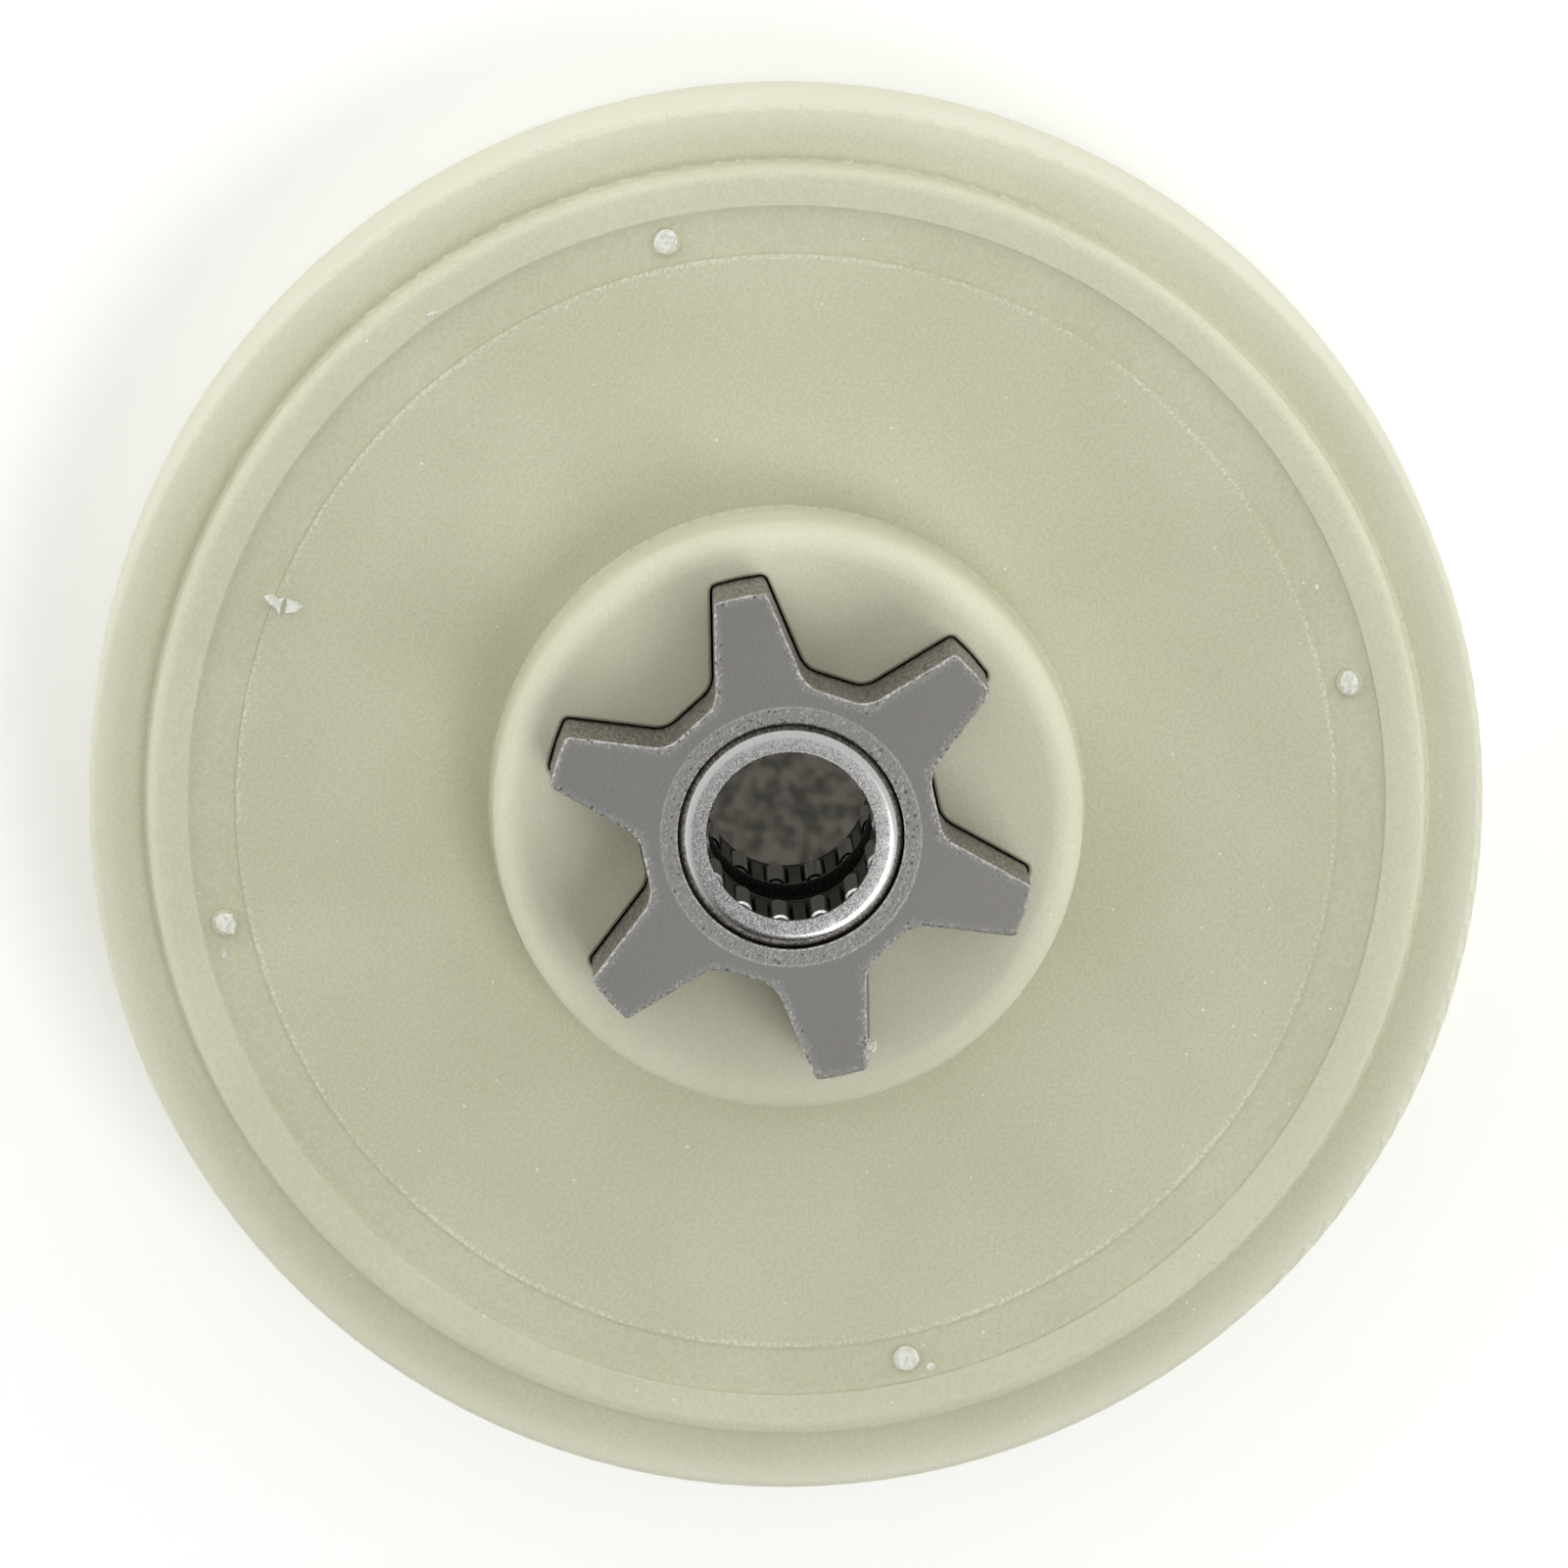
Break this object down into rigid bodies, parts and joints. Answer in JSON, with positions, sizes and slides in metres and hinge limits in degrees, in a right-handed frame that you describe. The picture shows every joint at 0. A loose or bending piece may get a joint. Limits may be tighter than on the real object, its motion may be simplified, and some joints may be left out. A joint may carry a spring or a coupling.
{
  "type": "chainsaw drive gear",
  "caption": "Nylon ring gear with internal teeth, moulded round a steel chain sprocket that runs on needle bearings, for an electric chainsaw.",
  "frame": {"origin": "on the gear's axis, in the plane of the ring's back rim", "axes": "+Z along the axis towards the sprocket, +X through the middle of one sprocket tooth"},
  "size_m": [0.0882, 0.0882, 0.0356],
  "materials": {
    "nylon": "natural glass-filled nylon, fine mould grain, slightly translucent",
    "sintered_steel": "matte sintered steel with pores and rubbed edges",
    "bearing_steel": "bright drawn steel",
    "cage_steel": "dull pressed steel, oiled",
    "needle_steel": "ground steel"
  },
  "bodies": {
    "gear": {"gear_body": "nylon", "drive_sprocket": "sintered_steel", "upper_bearing_cup": "bearing_steel", "lower_bearing_cup": "bearing_steel"},
    "upper_cage": {"upper_bearing_cage": "cage_steel"},
    "upper_needle_01": {"upper_needle_01": "needle_steel"},
    "upper_needle_02": {"upper_needle_02": "needle_steel"},
    "upper_needle_03": {"upper_needle_03": "needle_steel"},
    "upper_needle_04": {"upper_needle_04": "needle_steel"},
    "upper_needle_05": {"upper_needle_05": "needle_steel"},
    "upper_needle_06": {"upper_needle_06": "needle_steel"},
    "upper_needle_07": {"upper_needle_07": "needle_steel"},
    "upper_needle_08": {"upper_needle_08": "needle_steel"},
    "upper_needle_09": {"upper_needle_09": "needle_steel"},
    "upper_needle_10": {"upper_needle_10": "needle_steel"},
    "upper_needle_11": {"upper_needle_11": "needle_steel"},
    "upper_needle_12": {"upper_needle_12": "needle_steel"},
    "upper_needle_13": {"upper_needle_13": "needle_steel"},
    "upper_needle_14": {"upper_needle_14": "needle_steel"},
    "lower_cage": {"lower_bearing_cage": "cage_steel"},
    "lower_needle_01": {"lower_needle_01": "needle_steel"},
    "lower_needle_02": {"lower_needle_02": "needle_steel"},
    "lower_needle_03": {"lower_needle_03": "needle_steel"},
    "lower_needle_04": {"lower_needle_04": "needle_steel"},
    "lower_needle_05": {"lower_needle_05": "needle_steel"},
    "lower_needle_06": {"lower_needle_06": "needle_steel"},
    "lower_needle_07": {"lower_needle_07": "needle_steel"},
    "lower_needle_08": {"lower_needle_08": "needle_steel"},
    "lower_needle_09": {"lower_needle_09": "needle_steel"},
    "lower_needle_10": {"lower_needle_10": "needle_steel"},
    "lower_needle_11": {"lower_needle_11": "needle_steel"},
    "lower_needle_12": {"lower_needle_12": "needle_steel"},
    "lower_needle_13": {"lower_needle_13": "needle_steel"},
    "lower_needle_14": {"lower_needle_14": "needle_steel"}
  },
  "joints": [
    {"name": "upper_cage_spin", "type": "hinge", "parent": "gear", "child": "upper_cage", "pos_m": [0, 0, 0.0304], "axis": [0, 0, 1], "continuous": true},
    {"name": "upper_needle_01_roll", "type": "hinge", "parent": "upper_cage", "child": "upper_needle_01", "pos_m": [0.00559, 0.00158, 0.0304], "axis": [0, 0, 1], "continuous": true},
    {"name": "upper_needle_02_roll", "type": "hinge", "parent": "upper_cage", "child": "upper_needle_02", "pos_m": [0.00435, 0.00385, 0.0304], "axis": [0, 0, 1], "continuous": true},
    {"name": "upper_needle_03_roll", "type": "hinge", "parent": "upper_cage", "child": "upper_needle_03", "pos_m": [0.00225, 0.00536, 0.0304], "axis": [0, 0, 1], "continuous": true},
    {"name": "upper_needle_04_roll", "type": "hinge", "parent": "upper_cage", "child": "upper_needle_04", "pos_m": [-0.0003, 0.0058, 0.0304], "axis": [0, 0, 1], "continuous": true},
    {"name": "upper_needle_05_roll", "type": "hinge", "parent": "upper_cage", "child": "upper_needle_05", "pos_m": [-0.00279, 0.0051, 0.0304], "axis": [0, 0, 1], "continuous": true},
    {"name": "upper_needle_06_roll", "type": "hinge", "parent": "upper_cage", "child": "upper_needle_06", "pos_m": [-0.00472, 0.00338, 0.0304], "axis": [0, 0, 1], "continuous": true},
    {"name": "upper_needle_07_roll", "type": "hinge", "parent": "upper_cage", "child": "upper_needle_07", "pos_m": [-0.00572, 0.001, 0.0304], "axis": [0, 0, 1], "continuous": true},
    {"name": "upper_needle_08_roll", "type": "hinge", "parent": "upper_cage", "child": "upper_needle_08", "pos_m": [-0.00559, -0.00158, 0.0304], "axis": [0, 0, 1], "continuous": true},
    {"name": "upper_needle_09_roll", "type": "hinge", "parent": "upper_cage", "child": "upper_needle_09", "pos_m": [-0.00435, -0.00385, 0.0304], "axis": [0, 0, 1], "continuous": true},
    {"name": "upper_needle_10_roll", "type": "hinge", "parent": "upper_cage", "child": "upper_needle_10", "pos_m": [-0.00225, -0.00536, 0.0304], "axis": [0, 0, 1], "continuous": true},
    {"name": "upper_needle_11_roll", "type": "hinge", "parent": "upper_cage", "child": "upper_needle_11", "pos_m": [0.0003, -0.0058, 0.0304], "axis": [0, 0, 1], "continuous": true},
    {"name": "upper_needle_12_roll", "type": "hinge", "parent": "upper_cage", "child": "upper_needle_12", "pos_m": [0.00279, -0.0051, 0.0304], "axis": [0, 0, 1], "continuous": true},
    {"name": "upper_needle_13_roll", "type": "hinge", "parent": "upper_cage", "child": "upper_needle_13", "pos_m": [0.00472, -0.00338, 0.0304], "axis": [0, 0, 1], "continuous": true},
    {"name": "upper_needle_14_roll", "type": "hinge", "parent": "upper_cage", "child": "upper_needle_14", "pos_m": [0.00572, -0.001, 0.0304], "axis": [0, 0, 1], "continuous": true},
    {"name": "lower_cage_spin", "type": "hinge", "parent": "gear", "child": "lower_cage", "pos_m": [0, 0, 0.0122], "axis": [0, 0, 1], "continuous": true},
    {"name": "lower_needle_01_roll", "type": "hinge", "parent": "lower_cage", "child": "lower_needle_01", "pos_m": [0.00559, 0.00158, 0.0122], "axis": [0, 0, 1], "continuous": true},
    {"name": "lower_needle_02_roll", "type": "hinge", "parent": "lower_cage", "child": "lower_needle_02", "pos_m": [0.00435, 0.00385, 0.0122], "axis": [0, 0, 1], "continuous": true},
    {"name": "lower_needle_03_roll", "type": "hinge", "parent": "lower_cage", "child": "lower_needle_03", "pos_m": [0.00225, 0.00536, 0.0122], "axis": [0, 0, 1], "continuous": true},
    {"name": "lower_needle_04_roll", "type": "hinge", "parent": "lower_cage", "child": "lower_needle_04", "pos_m": [-0.0003, 0.0058, 0.0122], "axis": [0, 0, 1], "continuous": true},
    {"name": "lower_needle_05_roll", "type": "hinge", "parent": "lower_cage", "child": "lower_needle_05", "pos_m": [-0.00279, 0.0051, 0.0122], "axis": [0, 0, 1], "continuous": true},
    {"name": "lower_needle_06_roll", "type": "hinge", "parent": "lower_cage", "child": "lower_needle_06", "pos_m": [-0.00472, 0.00338, 0.0122], "axis": [0, 0, 1], "continuous": true},
    {"name": "lower_needle_07_roll", "type": "hinge", "parent": "lower_cage", "child": "lower_needle_07", "pos_m": [-0.00572, 0.001, 0.0122], "axis": [0, 0, 1], "continuous": true},
    {"name": "lower_needle_08_roll", "type": "hinge", "parent": "lower_cage", "child": "lower_needle_08", "pos_m": [-0.00559, -0.00158, 0.0122], "axis": [0, 0, 1], "continuous": true},
    {"name": "lower_needle_09_roll", "type": "hinge", "parent": "lower_cage", "child": "lower_needle_09", "pos_m": [-0.00435, -0.00385, 0.0122], "axis": [0, 0, 1], "continuous": true},
    {"name": "lower_needle_10_roll", "type": "hinge", "parent": "lower_cage", "child": "lower_needle_10", "pos_m": [-0.00225, -0.00536, 0.0122], "axis": [0, 0, 1], "continuous": true},
    {"name": "lower_needle_11_roll", "type": "hinge", "parent": "lower_cage", "child": "lower_needle_11", "pos_m": [0.0003, -0.0058, 0.0122], "axis": [0, 0, 1], "continuous": true},
    {"name": "lower_needle_12_roll", "type": "hinge", "parent": "lower_cage", "child": "lower_needle_12", "pos_m": [0.00279, -0.0051, 0.0122], "axis": [0, 0, 1], "continuous": true},
    {"name": "lower_needle_13_roll", "type": "hinge", "parent": "lower_cage", "child": "lower_needle_13", "pos_m": [0.00472, -0.00338, 0.0122], "axis": [0, 0, 1], "continuous": true},
    {"name": "lower_needle_14_roll", "type": "hinge", "parent": "lower_cage", "child": "lower_needle_14", "pos_m": [0.00572, -0.001, 0.0122], "axis": [0, 0, 1], "continuous": true}
  ],
  "couplings": [
    {"joint": "upper_needle_01_roll", "follows": "upper_cage_spin", "ratio": -8.7733},
    {"joint": "upper_needle_02_roll", "follows": "upper_cage_spin", "ratio": -8.7733},
    {"joint": "upper_needle_03_roll", "follows": "upper_cage_spin", "ratio": -8.7733},
    {"joint": "upper_needle_04_roll", "follows": "upper_cage_spin", "ratio": -8.7733},
    {"joint": "upper_needle_05_roll", "follows": "upper_cage_spin", "ratio": -8.7733},
    {"joint": "upper_needle_06_roll", "follows": "upper_cage_spin", "ratio": -8.7733},
    {"joint": "upper_needle_07_roll", "follows": "upper_cage_spin", "ratio": -8.7733},
    {"joint": "upper_needle_08_roll", "follows": "upper_cage_spin", "ratio": -8.7733},
    {"joint": "upper_needle_09_roll", "follows": "upper_cage_spin", "ratio": -8.7733},
    {"joint": "upper_needle_10_roll", "follows": "upper_cage_spin", "ratio": -8.7733},
    {"joint": "upper_needle_11_roll", "follows": "upper_cage_spin", "ratio": -8.7733},
    {"joint": "upper_needle_12_roll", "follows": "upper_cage_spin", "ratio": -8.7733},
    {"joint": "upper_needle_13_roll", "follows": "upper_cage_spin", "ratio": -8.7733},
    {"joint": "upper_needle_14_roll", "follows": "upper_cage_spin", "ratio": -8.7733},
    {"joint": "lower_needle_01_roll", "follows": "lower_cage_spin", "ratio": -8.7733},
    {"joint": "lower_needle_02_roll", "follows": "lower_cage_spin", "ratio": -8.7733},
    {"joint": "lower_needle_03_roll", "follows": "lower_cage_spin", "ratio": -8.7733},
    {"joint": "lower_needle_04_roll", "follows": "lower_cage_spin", "ratio": -8.7733},
    {"joint": "lower_needle_05_roll", "follows": "lower_cage_spin", "ratio": -8.7733},
    {"joint": "lower_needle_06_roll", "follows": "lower_cage_spin", "ratio": -8.7733},
    {"joint": "lower_needle_07_roll", "follows": "lower_cage_spin", "ratio": -8.7733},
    {"joint": "lower_needle_08_roll", "follows": "lower_cage_spin", "ratio": -8.7733},
    {"joint": "lower_needle_09_roll", "follows": "lower_cage_spin", "ratio": -8.7733},
    {"joint": "lower_needle_10_roll", "follows": "lower_cage_spin", "ratio": -8.7733},
    {"joint": "lower_needle_11_roll", "follows": "lower_cage_spin", "ratio": -8.7733},
    {"joint": "lower_needle_12_roll", "follows": "lower_cage_spin", "ratio": -8.7733},
    {"joint": "lower_needle_13_roll", "follows": "lower_cage_spin", "ratio": -8.7733},
    {"joint": "lower_needle_14_roll", "follows": "lower_cage_spin", "ratio": -8.7733}
  ]
}
